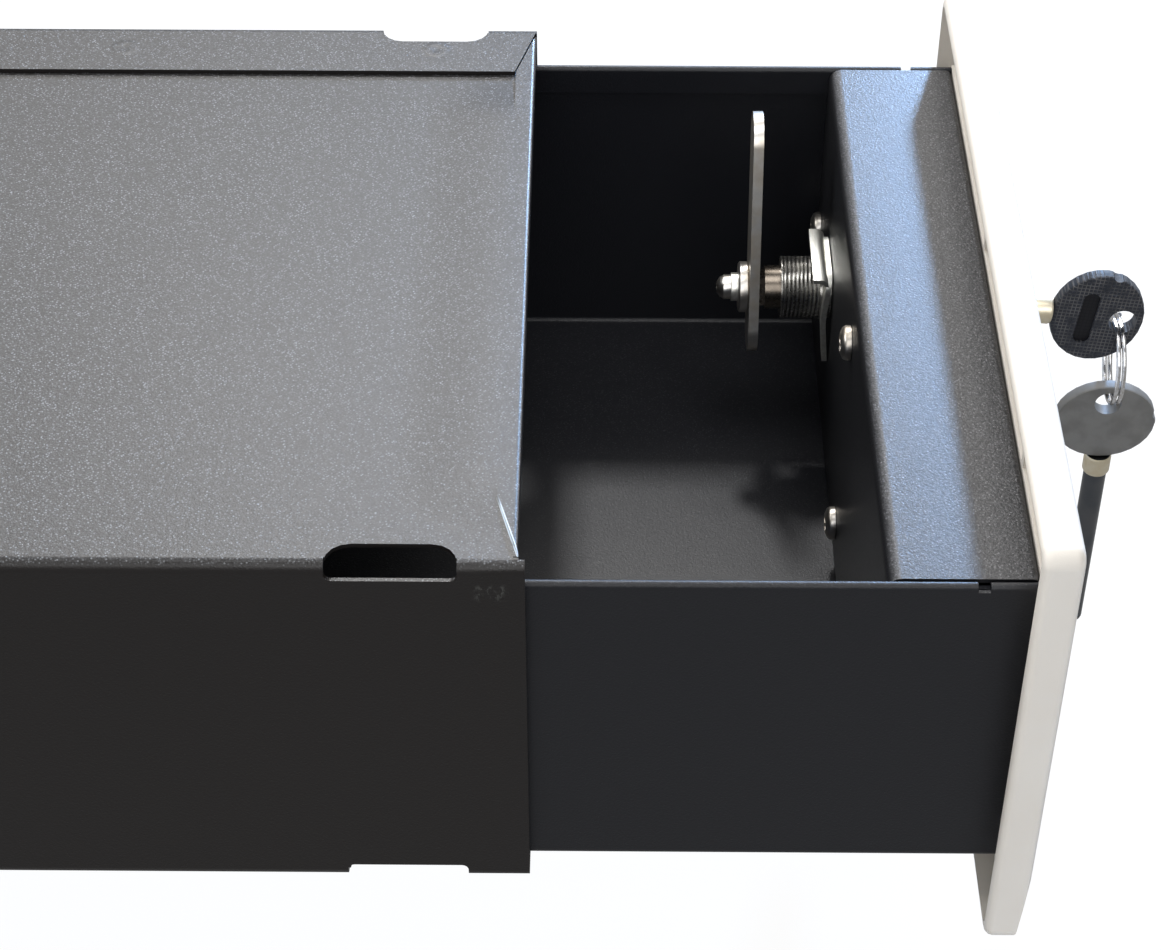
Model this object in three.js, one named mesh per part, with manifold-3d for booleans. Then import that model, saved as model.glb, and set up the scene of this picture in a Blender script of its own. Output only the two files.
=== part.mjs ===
// Under desk drawer safe: a folded steel sleeve, a drawer with a cam lock, and two keys on a ring.
// Millimetres, +Z up, +X the way the drawer opens. The origin is the middle of the hem at the mouth.
import * as THREE from 'three';
import { mergeVertices } from 'three/addons/utils/BufferGeometryUtils.js';
import Module from 'manifold-3d';

const wasm = await Module();
wasm.setup();

// Sleeve: the fixed shell under the desk
const sleeveWidth = 240;
const sleeveHeight = 116;
const sleeveDepth = 350;
const sleeveSheet = 1.2;
const sleeveInnerBend = 1.5;
// Drawer: how much smaller than the sleeve it is, and how far it stands open
const drawerDrop = 9.2;
const drawerUnder = 4.1;
const drawerBeside = 3.5;
const drawerBehind = 14;
const drawerWidth = sleeveWidth - 2 * drawerBeside;
const drawerHeight = sleeveHeight - sleeveSheet - drawerDrop - drawerUnder;
const drawerLength = sleeveDepth - drawerBehind;
const drawerSheet = 1.2;
const drawerInnerBend = 1.4;
const drawerOpen = 126.5;
const shutGap = 0.3;
// Front panel: the moulding on the drawer's front
const panelThickness = 10.5;
const panelAbove = 20.5;
const panelBelow = 21.9;
const panelBeside = 11.4;
const panelRimReach = 3.1;
// Hollow box between the drawer's inner wall and the panel
const boxDepth = 37.8;
// Lock: its axis in the drawer, from the middle and down from the wall's top
const lockAside = 67;
const lockDown = 48.8;
const lockBarrelDiameter = 19;
const camTilt = THREE.MathUtils.degToRad(18);
const camReach = 46.5;
// Keys: the one in the lock droops in the panel's hole
const keyDroop = THREE.MathUtils.degToRad(7);
const keyShaftDiameter = 7.4;
const keyShaftLength = 66.4;
const bowLength = 29;
const bowWidth = 32.5;
// Clearances shared by pieces that seat on or pass through each other
const seat = 0.2;
const slip = 0.15;
const overrun = 2;
// Smoothness of round stretches
const bendSteps = 4;
const fewBendSteps = 2;
const roundSteps = 28;
const middleRoundSteps = 20;
const smallRoundSteps = 16;
const tinyRoundSteps = 8;
const weldTolerance = 1e-4;

const half = (size) => size / 2;
const turn = 2 * Math.PI;
const quarter = Math.PI / 2;
const rightAngle = 90;

// Colours and finishes as the photograph shows them
function finish(color, roughness, metalness) {
  return new THREE.MeshStandardMaterial({ color, roughness, metalness, flatShading: true });
}
const powderCoat = () => finish(0x2b2a2c, 0.55, 0.1);
const drawerPaint = () => finish(0x25262c, 0.4, 0.15);
const creamMoulding = () => finish(0xd9d7cd, 0.45, 0);
const zincSteel = () => finish(0xb9bcc0, 0.3, 0.9);
const castZinc = () => finish(0xc7c6c0, 0.35, 0.85);
const springSteel = () => finish(0x9fa2a6, 0.3, 0.9);
const chromeWire = () => finish(0xd5d8dc, 0.12, 1);
const darkShaftSteel = () => finish(0x50585f, 0.3, 0.9);
const brassCollar = () => finish(0xcdbb92, 0.3, 0.9);
const blackBow = () => finish(0x303036, 0.5, 0);
const nylon = () => finish(0xe4e2da, 0.5, 0);

// A closed geometry as a solid that can be joined and cut
function solid(geometry) {
  const bare = geometry.clone();
  bare.deleteAttribute('normal');
  bare.deleteAttribute('uv');
  const welded = mergeVertices(bare, weldTolerance);
  return new wasm.Manifold(new wasm.Mesh({
    numProp: 3,
    vertProperties: Float32Array.from(welded.attributes.position.array),
    triVerts: Uint32Array.from(welded.index.array),
  }));
}

// A solid as a named mesh
function piece(name, body, material) {
  const net = body.getMesh();
  const geometry = new THREE.BufferGeometry();
  geometry.setAttribute('position', new THREE.BufferAttribute(Float32Array.from(net.vertProperties), 3));
  geometry.setIndex(new THREE.BufferAttribute(Uint32Array.from(net.triVerts), 1));
  geometry.computeVertexNormals();
  const mesh = new THREE.Mesh(geometry, material);
  mesh.name = name;
  return mesh;
}

const xAxis = new THREE.Vector3(1, 0, 0);
const yAxis = new THREE.Vector3(0, 1, 0);
const zAxis = new THREE.Vector3(0, 0, 1);
const alongX = new THREE.Matrix4().makeBasis(yAxis, zAxis, xAxis);
const alongY = new THREE.Matrix4().makeBasis(zAxis, xAxis, yAxis);

// An outline pushed from one place to another: drawn in Y and Z along X, in X and Y along Z,
// and in Z and X along Y
function push(outline, from, to) {
  const geometry = new THREE.ExtrudeGeometry(outline, { depth: to - from, bevelEnabled: false });
  return geometry.translate(0, 0, from);
}
const pushX = (outline, from, to) => solid(push(outline, from, to).applyMatrix4(alongX));
const pushY = (outline, from, to) => solid(push(outline, from, to).applyMatrix4(alongY));
const pushZ = (outline, from, to) => solid(push(outline, from, to));

// A closed profile of radius and place, turned about the X axis
function turned(profile, steps = roundSteps) {
  const points = profile.map(([radius, place]) => new THREE.Vector2(radius, place));
  const geometry = new THREE.LatheGeometry(points, steps);
  return solid(geometry.rotateZ(-quarter));
}

function shapeOf(points) {
  return new THREE.Shape(points.map(([across, up]) => new THREE.Vector2(across, up)));
}

function rectangle(low, high, bottom, top) {
  return shapeOf([[low, bottom], [high, bottom], [high, top], [low, top]]);
}

function arcPoints(centre, radius, from, to, steps) {
  const points = [];
  for (let step = 0; step <= steps; step += 1) {
    const angle = from + (to - from) * step / steps;
    points.push([centre[0] + radius * Math.cos(angle), centre[1] + radius * Math.sin(angle)]);
  }
  return points;
}

function circle(radius, centre = [0, 0], steps = roundSteps) {
  return shapeOf(arcPoints(centre, radius, 0, turn, steps).slice(0, steps));
}

function roundedRectangle(low, high, bottom, top, radius) {
  const corners = [
    [[high - radius, top - radius], 0],
    [[low + radius, top - radius], quarter],
    [[low + radius, bottom + radius], 2 * quarter],
    [[high - radius, bottom + radius], 3 * quarter],
  ];
  return shapeOf(corners.flatMap(([centre, from]) =>
    arcPoints(centre, radius, from, from + quarter, bendSteps)));
}

function block(lowX, highX, lowY, highY, lowZ, highZ) {
  return pushZ(rectangle(lowX, highX, lowY, highY), lowZ, highZ);
}

function rod(radius, fromX, toX, steps = smallRoundSteps) {
  return pushX(circle(radius, [0, 0], steps), fromX, toX);
}

// The outline of a folded sheet that follows its middle line, with round bends. A corner may give
// its own bend radius after its two places
function foldedSheet(corners, thickness, sharedRadius) {
  const middle = [];
  const add = (x, y, direction) => middle.push({ x, y, direction });
  for (let index = 0; index < corners.length; index += 1) {
    const here = new THREE.Vector2(...corners[index]);
    const before = index > 0 ? here.clone().sub(new THREE.Vector2(...corners[index - 1])) : null;
    const bendRadius = corners[index][2] ?? sharedRadius;
    const last = index === corners.length - 1;
    const after = last ? null : new THREE.Vector2(...corners[index + 1]).sub(here);
    if (!before || !after) {
      add(here.x, here.y, (before ?? after).angle());
      continue;
    }
    const incoming = before.angle();
    let bend = after.angle() - incoming;
    if (bend > Math.PI) bend -= turn;
    if (bend < -Math.PI) bend += turn;
    const side = Math.sign(bend);
    const setBack = bendRadius * Math.tan(Math.abs(bend) / 2);
    const start = here.clone().sub(before.setLength(setBack));
    const steps = Math.max(fewBendSteps, Math.ceil(bendSteps * Math.abs(bend) / quarter));
    for (let step = 0; step <= steps; step += 1) {
      const swept = bend * step / steps;
      const along = bendRadius * Math.sin(Math.abs(swept));
      const aside = side * bendRadius * (1 - Math.cos(swept));
      const x = start.x + along * Math.cos(incoming) - aside * Math.sin(incoming);
      const y = start.y + along * Math.sin(incoming) + aside * Math.cos(incoming);
      add(x, y, incoming + swept);
    }
  }
  const edge = (sign) => middle.map(({ x, y, direction }) => [
    x - sign * half(thickness) * Math.sin(direction),
    y + sign * half(thickness) * Math.cos(direction),
  ]);
  return shapeOf([...edge(1), ...edge(-1).reverse()]);
}

// Sleeve shell: one sheet, lapped on the far top edge and hemmed at the mouth
const lapWidth = 24.5;
const lapGap = 0.2;
const topSetBack = 1.6;
const hemWidth = 5.8;
const mitreGap = 0.5;
const mitreRun = 21.2;
const slotLength = 32.5;
const slotFromMouth = 16.5;
const slotOnTop = 8;
const slotDownWall = 5;
const slotTopRadius = 6.4;
const slotWallRadius = 1.8;
const slotBendDepth = 3.1;
const weldSpotDiameter = 5;
const weldSpotPlaces = 4;
const weldSpotMargin = 32;
const screwHoleDiameter = 5.5;
const screwHoleFromMouth = 175;
const screwHoleFromRear = 50;
const screwHoleFromSide = 45;
const sleeveHalf = half(sleeveWidth);
const sleeveBend = sleeveInnerBend + half(sleeveSheet);
const lapTop = lapGap + sleeveSheet;

// Everything of the sleeve is drawn with X counted from the mouth, so its rear is at minus the depth
const sleeveRear = -sleeveDepth;

function endSlots(fromX) {
  const toX = fromX + slotLength;
  const inner = sleeveHalf - slotOnTop;
  const outer = sleeveHalf + overrun;
  const onTop = roundedRectangle(fromX, toX, inner, outer + slotOnTop, slotTopRadius);
  const wallPart = roundedRectangle(-slotDownWall, 2 * slotDownWall, fromX, toX, slotWallRadius);
  const cutter = pushZ(onTop, -slotBendDepth, lapTop + overrun)
    .add(pushY(wallPart, sleeveHalf - slotBendDepth, outer));
  const lower = cutter.mirror([0, 0, 1]).translate([0, 0, -sleeveHeight]);
  const farSide = cutter.add(lower);
  return farSide.add(farSide.mirror([0, 1, 0]));
}

function sleeveShell() {
  const middleSide = sleeveHalf - half(sleeveSheet);
  const middleTop = -half(sleeveSheet);
  const middleBottom = -sleeveHeight + half(sleeveSheet);
  const section = foldedSheet([
    [sleeveHalf - sleeveSheet - sleeveInnerBend, middleTop],
    [-middleSide, middleTop],
    [-middleSide, middleBottom],
    [middleSide, middleBottom],
    [middleSide, lapGap + half(sleeveSheet)],
    [sleeveHalf - lapWidth, lapGap + half(sleeveSheet)],
  ], sleeveSheet, sleeveBend);
  let shell = pushX(section, sleeveRear, 0);

  // The front edges of the top and the far wall are set back, and the top's is folded over itself
  const edgeInside = sleeveHalf - sleeveSheet - sleeveInnerBend;
  const frontEdge = block(-topSetBack, overrun, -edgeInside, edgeInside,
    -sleeveSheet - lapGap, lapTop + overrun);
  const farEdge = block(-topSetBack, overrun, edgeInside - overrun, sleeveHalf + overrun,
    -sleeveHeight + sleeveSheet + sleeveInnerBend, lapTop + overrun);
  shell = shell.subtract(frontEdge).subtract(farEdge);
  const hemBack = -topSetBack - hemWidth;
  const hem = foldedSheet([
    [middleTop, hemBack - overrun],
    [middleTop, -topSetBack - half(sleeveSheet)],
    [lapGap + half(sleeveSheet), -topSetBack - half(sleeveSheet)],
    [lapGap + half(sleeveSheet), hemBack],
  ], sleeveSheet, half(sleeveSheet + lapGap));
  const lapInner = sleeveHalf - lapWidth;
  const mitreEnd = lapInner + mitreRun;
  const wedge = shapeOf([
    [hemBack - overrun, lapInner],
    [hemBack, lapInner],
    [-topSetBack, mitreEnd],
    [-topSetBack, sleeveHalf],
    [hemBack - overrun, sleeveHalf],
  ]);
  const farWedge = pushZ(wedge, lapGap, lapTop + overrun);
  const hemEnd = mitreEnd - half(mitreGap);
  const strip = pushY(hem, -hemEnd, hemEnd)
    .subtract(farWedge)
    .subtract(farWedge.mirror([0, 1, 0]));

  // The lap's front end is cut along the same mitre, a little behind it
  const lapCut = shapeOf([
    [hemBack - mitreGap, lapInner - overrun],
    [hemBack - mitreGap, lapInner],
    [-topSetBack - mitreGap, mitreEnd],
    [overrun, mitreEnd],
    [overrun, lapInner - overrun],
  ]);
  shell = shell.subtract(pushZ(lapCut, half(lapGap), lapTop + overrun)).add(strip);

  // Spot welds join the lap's two sheets
  for (let place = 0; place < weldSpotPlaces; place += 1) {
    const run = sleeveDepth - 2 * weldSpotMargin;
    const x = -weldSpotMargin - run * place / (weldSpotPlaces - 1);
    const spot = circle(half(weldSpotDiameter), [x, sleeveHalf - half(lapWidth)], tinyRoundSteps);
    shell = shell.add(pushZ(spot, -half(lapGap), lapGap + half(lapGap)));
  }

  // Slots through the long bends near both ends, and the holes for the desk screws
  shell = shell.subtract(endSlots(-slotFromMouth - slotLength));
  shell = shell.subtract(endSlots(sleeveRear + slotFromMouth));
  for (const x of [-screwHoleFromMouth, sleeveRear + screwHoleFromRear]) {
    for (const y of [-1, 1].map((side) => side * (sleeveHalf - screwHoleFromSide))) {
      const hole = circle(half(screwHoleDiameter), [x, y], smallRoundSteps);
      shell = shell.subtract(pushZ(hole, -sleeveSheet - lapGap, overrun));
    }
  }
  return shell;
}

// A pan of folded sheet: a plate across X with its flanges turned towards +X
function pan(plateX, halfWidth, bottom, top, flange, sheet, innerBend) {
  const bend = innerBend + half(sheet);
  const x = plateX + half(sheet);
  const relief = bend + sheet;
  const upright = foldedSheet([
    [bottom + half(sheet), plateX + flange],
    [bottom + half(sheet), x],
    [top - half(sheet), x],
    [top - half(sheet), plateX + flange],
  ], sheet, bend);
  const level = foldedSheet([
    [plateX + flange, -halfWidth + half(sheet)],
    [x, -halfWidth + half(sheet)],
    [x, halfWidth - half(sheet)],
    [plateX + flange, halfWidth - half(sheet)],
  ], sheet, bend);
  return pushY(upright, -halfWidth + relief, halfWidth - relief)
    .add(pushZ(level, bottom + relief, top - relief));
}

// Back plate: closes the sleeve's rear, riveted through its flanges
const backInset = 1;
const backFlange = 14;
const backFit = 0.25;
const rivetDiameter = 4;
const rivetHeadDiameter = 7;
const rivetDomeDiameter = 4.2;
const rivetHeadHeight = 1.3;
const rivetTailLength = 3;
const rivetTailDiameter = 5;
const rivetTailEndDiameter = 3.6;
const rivetFromFloor = 22;
const rivetX = sleeveRear + backInset + half(backFlange) + sleeveSheet;
const rivetLow = -sleeveHeight + rivetFromFloor;
const rivetSeats = [
  { where: 'near_low', turnZ: -quarter, turnY: 0, place: [rivetX, -sleeveHalf, rivetLow] },
  { where: 'near_high', turnZ: -quarter, turnY: 0, place: [rivetX, -sleeveHalf, -rivetFromFloor] },
  { where: 'far_low', turnZ: quarter, turnY: 0, place: [rivetX, sleeveHalf, rivetLow] },
  { where: 'far_high', turnZ: quarter, turnY: 0, place: [rivetX, sleeveHalf, -rivetFromFloor] },
  { where: 'floor_near', turnZ: 0, turnY: quarter, place: [rivetX, -half(sleeveHalf), -sleeveHeight] },
  { where: 'floor_far', turnZ: 0, turnY: quarter, place: [rivetX, half(sleeveHalf), -sleeveHeight] },
];

function union(bodies) {
  return bodies.reduce((sum, body) => sum.add(body));
}

const rivetGrip = 2 * sleeveSheet + backFit;
const rivetHoles = union(rivetSeats.map(({ turnZ, turnY, place }) =>
  rod(half(rivetDiameter) + slip, -rivetGrip - overrun, overrun)
    .rotate([0, THREE.MathUtils.radToDeg(turnY), THREE.MathUtils.radToDeg(turnZ)])
    .translate(place)));

function backPlate() {
  const inner = sleeveSheet + backFit;
  const plate = pan(sleeveRear + backInset, sleeveHalf - inner, -sleeveHeight + inner, -inner,
    backFlange, sleeveSheet, sleeveInnerBend);
  return plate.subtract(rivetHoles);
}

function backRivet() {
  const radius = half(rivetDiameter);
  const head = half(rivetHeadDiameter);
  const tail = half(rivetTailDiameter);
  return turned([
    [0, -rivetGrip - rivetTailLength],
    [half(rivetTailEndDiameter), -rivetGrip - rivetTailLength],
    [tail, -rivetGrip - half(rivetTailLength)],
    [tail, -rivetGrip - seat],
    [radius, -rivetGrip - seat],
    [radius, seat],
    [head, seat],
    [half(rivetDomeDiameter), rivetHeadHeight],
    [0, rivetHeadHeight],
  ], tinyRoundSteps + bendSteps);
}

// Places in the drawer: X is still counted from the sleeve's mouth, Z from the top of its walls
const junctionX = drawerOpen + shutGap;
const innerWallX = junctionX - boxDepth;
const drawerRearX = junctionX - drawerLength;
const drawerHalf = half(drawerWidth);
const drawerInside = drawerHalf - drawerSheet;
const floorTop = -drawerHeight + drawerSheet;

// Glide strips: nylon runners between the sleeve's floor and the drawer
const glideWidth = 15;
const glideFromSide = 30;
const glideEndMargin = 8;
const glideTopEdge = 1.2;
const glideEndRadius = 6.8;

function glideStrip(side) {
  const bottom = -sleeveHeight + sleeveSheet + seat;
  const top = -drawerDrop - drawerHeight - seat;
  const middle = side * (sleeveHalf - glideFromSide);
  const left = middle - half(glideWidth);
  const right = middle + half(glideWidth);
  const section = shapeOf([
    [left, bottom],
    [right, bottom],
    [right, top - glideTopEdge],
    [right - glideTopEdge, top],
    [left + glideTopEdge, top],
    [left, top - glideTopEdge],
  ]);
  const rear = sleeveRear + backInset + backFlange + glideEndMargin;
  const plan = roundedRectangle(rear, -glideEndMargin, left, right, glideEndRadius);
  return pushX(section, rear, -glideEndMargin).intersect(pushZ(plan, bottom - overrun, top + overrun));
}

// Lock pieces along X, counted from the inner wall
const lockWallGap = 0.1;
const barrelBehindWall = 15.2;
const plugBehindWall = 20.1;
const camOutFace = 25;
const camThickness = 3;
const camHalfWidth = 9;
const camTail = 11.5;
const camWasherDiameter = 15.6;
const camWasherThickness = 3.1;
const camWasherEdge = 0.4;
const springWasherDiameter = 8.7;
const springWasherThickness = 2.2;
const camScrewHeadDiameter = 7.6;
const camScrewHeadHeight = 2.3;
const camScrewDome = 2.2;
const camScrewDomeProfile = [[3.8, 0.35], [6.2, 1.2], [7.1, 2.2]];
const camScrewSlot = { length: 2.7, width: 0.65, depth: 1.1 };
const camScrewDiameter = 4;
const camScrewLength = 12;
const stackGap = 0.1;
const camRearX = innerWallX - camOutFace;
const camFrontX = camRearX + camThickness;

// Lock strike: angle bracket under the sleeve's top that the cam turns in behind
const strikeSheet = 2;
const strikeInnerBend = 1.5;
const strikeNearReach = 31;
const strikeFarReach = 2;
const strikeFoot = 20;
const strikeReach = 7;
const strikePlay = 0.5;
const strikeRearX = camFrontX - drawerOpen + strikePlay;

function lockStrike() {
  const footZ = -sleeveSheet - seat - half(strikeSheet);
  const legX = strikeRearX + half(strikeSheet);
  const section = foldedSheet([
    [footZ, legX + strikeFoot],
    [footZ, legX],
    [-drawerDrop - strikeReach, legX],
  ], strikeSheet, strikeInnerBend + half(strikeSheet));
  return pushY(section, lockAside - strikeNearReach, lockAside + strikeFarReach);
}

// Drawer tray: floor and side walls, with hemmed top edges notched near the front
const trayHemHeight = 9;
const trayHemGap = 0.3;
const trayHemRear = 18;
const trayNotchFrom = 15.6;
const trayNotchWidth = 3.2;
const trayNotchDepth = 2;

function drawerTray() {
  const wall = drawerHalf - half(drawerSheet);
  const fold = drawerSheet + trayHemGap;
  const top = -half(drawerSheet);
  const floor = -drawerHeight + half(drawerSheet);
  const bend = drawerInnerBend + half(drawerSheet);
  const lowPart = [[-wall, top - fold], [-wall, floor], [wall, floor], [wall, top - fold]];
  const tray = pushX(foldedSheet(lowPart, drawerSheet, bend), drawerRearX, junctionX);
  const hemSection = foldedSheet([
    [wall, -trayHemHeight],
    [wall, top],
    [wall - fold, top],
    [wall - fold, -trayHemHeight],
  ], drawerSheet, half(fold));
  const hem = pushX(hemSection, drawerRearX + trayHemRear, junctionX);
  const plainTop = block(drawerRearX, drawerRearX + trayHemRear, drawerInside, drawerHalf,
    -trayHemHeight, 0);
  const farTop = hem.add(plainTop);
  const notchX = junctionX - trayNotchFrom;
  const notch = block(notchX, notchX + trayNotchWidth, -drawerHalf - overrun, drawerHalf + overrun,
    -trayNotchDepth, overrun);
  return tray.add(farTop).add(farTop.mirror([0, 1, 0])).subtract(notch);
}

// Drawer back: a folded pan spot-welded between the walls
const drawerBackFlange = 12;

function drawerBack() {
  const side = drawerInside - seat;
  return pan(drawerRearX, side, floorTop + seat, 0, drawerBackFlange, drawerSheet, drawerInnerBend);
}

// Panel screws: their places as aside and down, the same for spacers, holes and bosses
const screwFromTop = 17;
const screwFromBottom = 15.5;
const screwFromSide = 11.5;
const screwBelowMiddle = 3.25;
const screwSideDown = half(drawerHeight) + screwBelowMiddle;
const screwPlaces = [
  { where: 'top', aside: 0, down: screwFromTop },
  { where: 'bottom', aside: 0, down: drawerHeight - screwFromBottom },
  { where: 'far', aside: drawerHalf - screwFromSide, down: screwSideDown },
  { where: 'near', aside: screwFromSide - drawerHalf, down: screwSideDown },
];
const screwDiameter = 4.8;
const screwHeadDiameter = 10;
const screwHeadHeight = 2.9;
const screwRoundDiameter = 9;
const screwRoundHeight = 1.4;
const screwRoundEdge = 0.7;
const screwCrownDiameter = 6;
const screwInPanel = 4.4;
const crossWidth = 1.3;
const crossLength = 5.4;
const crossDepth = 1.7;
const spacerDiameter = 9;

function atScrews(body) {
  return union(screwPlaces.map(({ aside, down }) => body.translate([0, aside, -down])));
}

// Front box: folded channel whose inner wall carries the lock
const boxInnerBend = 2.5;
const boxOuterBend = 0.8;
const boxFlange = 12;
const boxFit = 0.2;
const keyPassDiameter = 19.4;

// The lock's hole or barrel as an outline about its axis, with a flat on the far side
const barrelFlatAside = 8.1;
function flattedOutline(radius, flatAside) {
  const limit = Math.acos(flatAside / radius);
  return shapeOf(arcPoints([0, 0], radius, limit, turn - limit, roundSteps));
}

function frontBox() {
  const inner = innerWallX + half(drawerSheet);
  const outer = junctionX - half(drawerSheet);
  const top = -half(drawerSheet);
  const foot = floorTop + seat + half(drawerSheet);
  const channel = foldedSheet([
    [foot, inner + boxFlange],
    [foot, inner],
    [top, inner],
    [top, outer, boxOuterBend + half(drawerSheet)],
    [foot, outer],
    [foot, outer - boxFlange],
  ], drawerSheet, boxInnerBend + half(drawerSheet));
  const side = drawerInside - boxFit;
  let box = pushY(channel, -side, side);
  const hemInside = drawerInside - trayHemGap - drawerSheet - boxFit;
  const hemCut = block(innerWallX - overrun, junctionX + overrun, hemInside, drawerHalf,
    -trayHemHeight - boxFit, overrun);
  const bendClear = drawerInnerBend + boxFit;
  const cornerCut = block(innerWallX - overrun, junctionX + overrun, drawerInside - bendClear, drawerHalf,
    floorTop - overrun, floorTop + bendClear);
  const sideCuts = hemCut.add(cornerCut);
  box = box.subtract(sideCuts).subtract(sideCuts.mirror([0, 1, 0]));
  const wallHole = pushX(flattedOutline(half(lockBarrelDiameter) + slip, barrelFlatAside + slip),
    innerWallX - overrun, innerWallX + half(boxDepth));
  const keyHole = rod(half(keyPassDiameter) + boxFit, junctionX - half(boxDepth), junctionX + overrun,
    roundSteps);
  const screwHoles = atScrews(rod(half(screwDiameter) + slip, innerWallX - overrun, junctionX + overrun));
  return box
    .subtract(wallHole.add(keyHole).translate([0, lockAside, -lockDown]))
    .subtract(screwHoles);
}

// Front panel: a moulded tray with rounded edges, whose lower front slopes back
const panelCorner = 5;
const panelEdge = 2.4;
const panelEdgeSteps = 3;
const panelSkin = 5;
const panelRim = 3;
const panelSlopeShare = 0.2;
const panelSlopeBack = 2.4;
const panelRib = 2.5;
const panelRibPlaces = [22, -71];
const panelSeatRim = 2.6;
const bossDiameter = 11;
const keyBossDiameter = 26;
const panelRearX = junctionX - panelRimReach;
const panelFrontX = panelRearX + panelThickness;

function frontPanel() {
  const side = drawerHalf + panelBeside;
  const bottom = -drawerHeight - panelBelow;
  const outline = roundedRectangle(-side + panelEdge, side - panelEdge, bottom + panelEdge,
    panelAbove - panelEdge, panelCorner - panelEdge);
  const slab = new THREE.ExtrudeGeometry(outline, {
    depth: panelThickness - 2 * panelEdge,
    bevelEnabled: true,
    bevelThickness: panelEdge,
    bevelSize: panelEdge,
    bevelSegments: panelEdgeSteps,
  });
  slab.translate(0, 0, panelRearX + panelEdge).applyMatrix4(alongX);
  const height = panelAbove - bottom;
  const slope = shapeOf([
    [bottom - overrun, panelFrontX - panelSlopeBack * (1 + overrun / (height * panelSlopeShare))],
    [bottom + height * panelSlopeShare, panelFrontX],
    [bottom + height * panelSlopeShare, panelFrontX + overrun],
    [bottom - overrun, panelFrontX + overrun],
  ]);
  let panel = solid(slab).subtract(pushY(slope, -side - overrun, side + overrun));

  // The recess behind the skin, with a rim round the drawer's end and ribs to the outer rim
  const floorX = panelFrontX - panelSkin;
  const ribRearX = junctionX + seat;
  const recess = roundedRectangle(-side + panelRim, side - panelRim, bottom + panelRim,
    panelAbove - panelRim, panelCorner - half(panelRim));
  panel = panel.subtract(pushX(recess, panelRearX - overrun, floorX));
  const seatRim = rectangle(-drawerHalf, drawerHalf, -drawerHeight, 0);
  seatRim.holes.push(rectangle(-drawerHalf + panelSeatRim, drawerHalf - panelSeatRim,
    -drawerHeight + panelSeatRim, -panelSeatRim));
  let inside = pushX(seatRim, ribRearX, floorX);
  for (const y of panelRibPlaces) {
    inside = inside.add(block(ribRearX, floorX, y - half(panelRib), y + half(panelRib), -panelSeatRim,
      panelAbove - panelRim));
    inside = inside.add(block(ribRearX, floorX, y - half(panelRib), y + half(panelRib),
      bottom + panelRim, -drawerHeight + panelSeatRim));
  }
  inside = inside.add(atScrews(rod(half(bossDiameter), ribRearX, floorX)));
  const axis = [0, lockAside, -lockDown];
  inside = inside.add(rod(half(keyBossDiameter), ribRearX, floorX, roundSteps).translate(axis));
  const keyHole = rod(half(keyPassDiameter), panelRearX - overrun, panelFrontX + overrun, roundSteps);
  const pilot = rod(half(screwDiameter) + slip, ribRearX - overrun, junctionX + screwInPanel + seat);
  return panel.add(inside).subtract(keyHole.translate(axis)).subtract(atScrews(pilot));
}

function panelScrew() {
  const radius = half(screwDiameter);
  const head = half(screwHeadDiameter);
  const back = innerWallX - seat;
  const screw = turned([
    [0, back - screwHeadHeight],
    [half(screwCrownDiameter), back - screwHeadHeight],
    [half(screwRoundDiameter), back - screwHeadHeight + screwRoundEdge],
    [head, back - screwRoundHeight],
    [head, back],
    [radius, back],
    [radius, junctionX + screwInPanel - radius],
    [0, junctionX + screwInPanel],
  ], middleRoundSteps);
  const crossLow = back - screwHeadHeight - overrun;
  const crossFloor = back - screwHeadHeight + crossDepth;
  const bar = block(crossLow, crossFloor, -half(crossLength), half(crossLength),
    -half(crossWidth), half(crossWidth));
  return screw.subtract(bar).subtract(bar.rotate([rightAngle, 0, 0]));
}

function panelSpacer() {
  const from = innerWallX + drawerSheet + seat;
  const to = junctionX - drawerSheet - seat;
  const tube = circle(half(spacerDiameter), [0, 0], middleRoundSteps);
  tube.holes.push(circle(half(screwDiameter) + slip, [0, 0], middleRoundSteps));
  return pushX(tube, from, to);
}

// Lock clip: a bowed horseshoe of spring steel pressed into the barrel's groove against the wall
const clipWidth = 26;
const clipLegWidth = 4.75;
const clipAbove = 12.2;
const clipBelow = 18.8;
const clipThickness = 1.6;
const clipBow = 1.5;
const clipCorner = 5;

function clipPlan(grow) {
  const outer = half(clipWidth) + grow;
  const inner = half(clipWidth) - clipLegWidth - grow;
  const corner = half(clipWidth) - clipCorner;
  const cornerUp = clipAbove - clipCorner;
  const slotUp = clipAbove - half(clipWidth);
  return shapeOf([
    ...arcPoints([corner, cornerUp], clipCorner + grow, 0, quarter, bendSteps),
    ...arcPoints([-corner, cornerUp], clipCorner + grow, quarter, 2 * quarter, bendSteps),
    [-outer, -clipBelow - grow],
    [-inner, -clipBelow - grow],
    ...arcPoints([0, slotUp], inner, Math.PI, 0, roundSteps / 2),
    [inner, -clipBelow - grow],
    [outer, -clipBelow - grow],
  ]);
}

// Lock body: head inside the box, flatted barrel through the inner wall
const lockHeadDiameter = 22;
const lockHeadHeight = 3.2;
const lockHeadEdgeHeight = 1.9;
const lockFaceDiameter = 19.4;
const plugDiameter = 13.5;
const lockHeadRear = innerWallX + drawerSheet + lockWallGap;
const lockFaceX = lockHeadRear + lockHeadHeight;

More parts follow.
